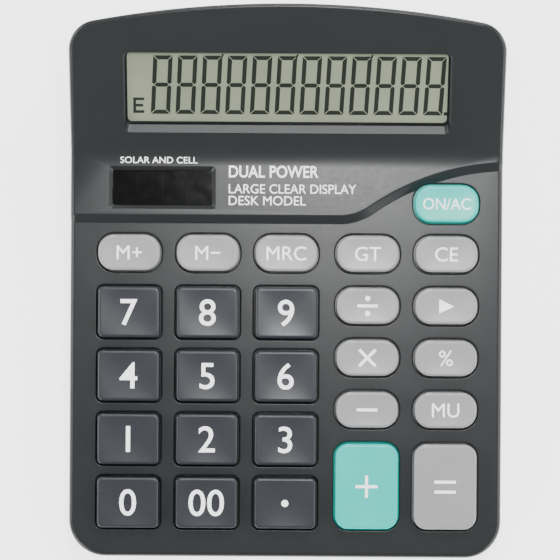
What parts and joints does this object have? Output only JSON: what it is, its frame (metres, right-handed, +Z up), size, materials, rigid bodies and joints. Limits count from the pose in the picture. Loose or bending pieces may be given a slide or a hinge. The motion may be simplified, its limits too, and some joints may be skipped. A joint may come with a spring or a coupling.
{
  "type": "desktop calculator",
  "caption": "Wedge-shaped desktop calculator with a tilted display head, a solar strip on a raised curved band, and square, oval and tall sprung keys.",
  "frame": {"origin": "middle of the underside, at the desk plane under the rubber feet", "axes": "+X to the user's right, +Y to the back, +Z up"},
  "size_m": [0.118, 0.1507, 0.0385],
  "materials": {
    "case_plastic": "fine spark-eroded grain, satin",
    "window_clear": "clear, polished",
    "lcd_glass": "matt polariser over glass",
    "reflector_foil": "brushed foil",
    "retainer_plastic": "matt",
    "ribbon_film": "thin polyimide film",
    "solar_tint": "dark tinted, polished",
    "solar_silicon": "dark coated glass",
    "foam": "closed-cell foam",
    "board": "solder mask over laminate",
    "silicone": "moulded, matt",
    "epoxy": "cast, glossy",
    "sleeve": "shrunk sleeve",
    "ceramic": "fired",
    "steel": "zinc plated",
    "spring_steel": "nickel plated",
    "battery_jacket": "printed jacket",
    "wire_red": "extruded",
    "wire_black": "extruded",
    "foot_rubber": "matt",
    "key_black": "satin gloss",
    "key_grey": "satin",
    "key_teal": "satin"
  },
  "bodies": {
    "case": {"upper_case": "case_plastic", "lower_case": "case_plastic", "display_window": "window_clear", "lcd_panel": "lcd_glass", "lcd_reflector": "reflector_foil", "lcd_retainer": "retainer_plastic", "lcd_ribbon": "ribbon_film", "retainer_screws": "steel", "solar_window": "solar_tint", "solar_cell": "solar_silicon", "solar_pad": "foam", "circuit_board": "board", "keypad_membrane": "silicone", "chip_cover": "epoxy", "capacitor": "sleeve", "chip_parts": "ceramic", "board_screws": "steel", "battery_cell": "battery_jacket", "battery_spring": "spring_steel", "battery_contact": "spring_steel", "battery_wire_red": "wire_red", "battery_wire_black": "wire_black", "solar_wire_red": "wire_red", "solar_wire_black": "wire_black", "case_screws": "steel", "rubber_feet": "foot_rubber"},
    "door": {"battery_door": "case_plastic"},
    "button_0": {"key_0": "key_black"},
    "button_00": {"key_00": "key_black"},
    "button_dot": {"key_dot": "key_black"},
    "button_1": {"key_1": "key_black"},
    "button_2": {"key_2": "key_black"},
    "button_3": {"key_3": "key_black"},
    "button_4": {"key_4": "key_black"},
    "button_5": {"key_5": "key_black"},
    "button_6": {"key_6": "key_black"},
    "button_7": {"key_7": "key_black"},
    "button_8": {"key_8": "key_black"},
    "button_9": {"key_9": "key_black"},
    "button_plus": {"key_plus": "key_teal"},
    "button_equals": {"key_equals": "key_grey"},
    "button_minus": {"key_minus": "key_grey"},
    "button_mu": {"key_mu": "key_grey"},
    "button_times": {"key_times": "key_grey"},
    "button_percent": {"key_percent": "key_grey"},
    "button_divide": {"key_divide": "key_grey"},
    "button_backspace": {"key_backspace": "key_grey"},
    "button_m_plus": {"key_m_plus": "key_grey"},
    "button_m_minus": {"key_m_minus": "key_grey"},
    "button_mrc": {"key_mrc": "key_grey"},
    "button_gt": {"key_gt": "key_grey"},
    "button_ce": {"key_ce": "key_grey"},
    "button_on_ac": {"key_on_ac": "key_teal"}
  },
  "joints": [
    {"name": "door_slide", "type": "slide", "parent": "case", "child": "door", "axis": [0, 1, 0], "range_m": [0, 0.02]},
    {"name": "press_0", "type": "slide", "parent": "case", "child": "button_0", "axis": [0, 0.0698, -0.9976], "range_m": [0, 0.0013], "stiffness_N_per_m": 500, "deforming": ["keypad_membrane"]},
    {"name": "press_00", "type": "slide", "parent": "case", "child": "button_00", "axis": [0, 0.0698, -0.9976], "range_m": [0, 0.0013], "stiffness_N_per_m": 500, "deforming": ["keypad_membrane"]},
    {"name": "press_dot", "type": "slide", "parent": "case", "child": "button_dot", "axis": [0, 0.0698, -0.9976], "range_m": [0, 0.0013], "stiffness_N_per_m": 500, "deforming": ["keypad_membrane"]},
    {"name": "press_1", "type": "slide", "parent": "case", "child": "button_1", "axis": [0, 0.0698, -0.9976], "range_m": [0, 0.0013], "stiffness_N_per_m": 500, "deforming": ["keypad_membrane"]},
    {"name": "press_2", "type": "slide", "parent": "case", "child": "button_2", "axis": [0, 0.0698, -0.9976], "range_m": [0, 0.0013], "stiffness_N_per_m": 500, "deforming": ["keypad_membrane"]},
    {"name": "press_3", "type": "slide", "parent": "case", "child": "button_3", "axis": [0, 0.0698, -0.9976], "range_m": [0, 0.0013], "stiffness_N_per_m": 500, "deforming": ["keypad_membrane"]},
    {"name": "press_4", "type": "slide", "parent": "case", "child": "button_4", "axis": [0, 0.0698, -0.9976], "range_m": [0, 0.0013], "stiffness_N_per_m": 500, "deforming": ["keypad_membrane"]},
    {"name": "press_5", "type": "slide", "parent": "case", "child": "button_5", "axis": [0, 0.0698, -0.9976], "range_m": [0, 0.0013], "stiffness_N_per_m": 500, "deforming": ["keypad_membrane"]},
    {"name": "press_6", "type": "slide", "parent": "case", "child": "button_6", "axis": [0, 0.0698, -0.9976], "range_m": [0, 0.0013], "stiffness_N_per_m": 500, "deforming": ["keypad_membrane"]},
    {"name": "press_7", "type": "slide", "parent": "case", "child": "button_7", "axis": [0, 0.0698, -0.9976], "range_m": [0, 0.0013], "stiffness_N_per_m": 500, "deforming": ["keypad_membrane"]},
    {"name": "press_8", "type": "slide", "parent": "case", "child": "button_8", "axis": [0, 0.0698, -0.9976], "range_m": [0, 0.0013], "stiffness_N_per_m": 500, "deforming": ["keypad_membrane"]},
    {"name": "press_9", "type": "slide", "parent": "case", "child": "button_9", "axis": [0, 0.0698, -0.9976], "range_m": [0, 0.0013], "stiffness_N_per_m": 500, "deforming": ["keypad_membrane"]},
    {"name": "press_plus", "type": "slide", "parent": "case", "child": "button_plus", "axis": [0, 0.0698, -0.9976], "range_m": [0, 0.0013], "stiffness_N_per_m": 500, "deforming": ["keypad_membrane"]},
    {"name": "press_equals", "type": "slide", "parent": "case", "child": "button_equals", "axis": [0, 0.0698, -0.9976], "range_m": [0, 0.0013], "stiffness_N_per_m": 500, "deforming": ["keypad_membrane"]},
    {"name": "press_minus", "type": "slide", "parent": "case", "child": "button_minus", "axis": [0, 0.0698, -0.9976], "range_m": [0, 0.0013], "stiffness_N_per_m": 500, "deforming": ["keypad_membrane"]},
    {"name": "press_mu", "type": "slide", "parent": "case", "child": "button_mu", "axis": [0, 0.0698, -0.9976], "range_m": [0, 0.0013], "stiffness_N_per_m": 500, "deforming": ["keypad_membrane"]},
    {"name": "press_times", "type": "slide", "parent": "case", "child": "button_times", "axis": [0, 0.0698, -0.9976], "range_m": [0, 0.0013], "stiffness_N_per_m": 500, "deforming": ["keypad_membrane"]},
    {"name": "press_percent", "type": "slide", "parent": "case", "child": "button_percent", "axis": [0, 0.0698, -0.9976], "range_m": [0, 0.0013], "stiffness_N_per_m": 500, "deforming": ["keypad_membrane"]},
    {"name": "press_divide", "type": "slide", "parent": "case", "child": "button_divide", "axis": [0, 0.0698, -0.9976], "range_m": [0, 0.0013], "stiffness_N_per_m": 500, "deforming": ["keypad_membrane"]},
    {"name": "press_backspace", "type": "slide", "parent": "case", "child": "button_backspace", "axis": [0, 0.0698, -0.9976], "range_m": [0, 0.0013], "stiffness_N_per_m": 500, "deforming": ["keypad_membrane"]},
    {"name": "press_m_plus", "type": "slide", "parent": "case", "child": "button_m_plus", "axis": [0, 0.0698, -0.9976], "range_m": [0, 0.0013], "stiffness_N_per_m": 500, "deforming": ["keypad_membrane"]},
    {"name": "press_m_minus", "type": "slide", "parent": "case", "child": "button_m_minus", "axis": [0, 0.0698, -0.9976], "range_m": [0, 0.0013], "stiffness_N_per_m": 500, "deforming": ["keypad_membrane"]},
    {"name": "press_mrc", "type": "slide", "parent": "case", "child": "button_mrc", "axis": [0, 0.0698, -0.9976], "range_m": [0, 0.0013], "stiffness_N_per_m": 500, "deforming": ["keypad_membrane"]},
    {"name": "press_gt", "type": "slide", "parent": "case", "child": "button_gt", "axis": [0, 0.0698, -0.9976], "range_m": [0, 0.0013], "stiffness_N_per_m": 500, "deforming": ["keypad_membrane"]},
    {"name": "press_ce", "type": "slide", "parent": "case", "child": "button_ce", "axis": [0, 0.0698, -0.9976], "range_m": [0, 0.0013], "stiffness_N_per_m": 500, "deforming": ["keypad_membrane"]},
    {"name": "press_on_ac", "type": "slide", "parent": "case", "child": "button_on_ac", "axis": [0, 0.0698, -0.9976], "range_m": [0, 0.0013], "stiffness_N_per_m": 500, "deforming": ["keypad_membrane"]}
  ]
}
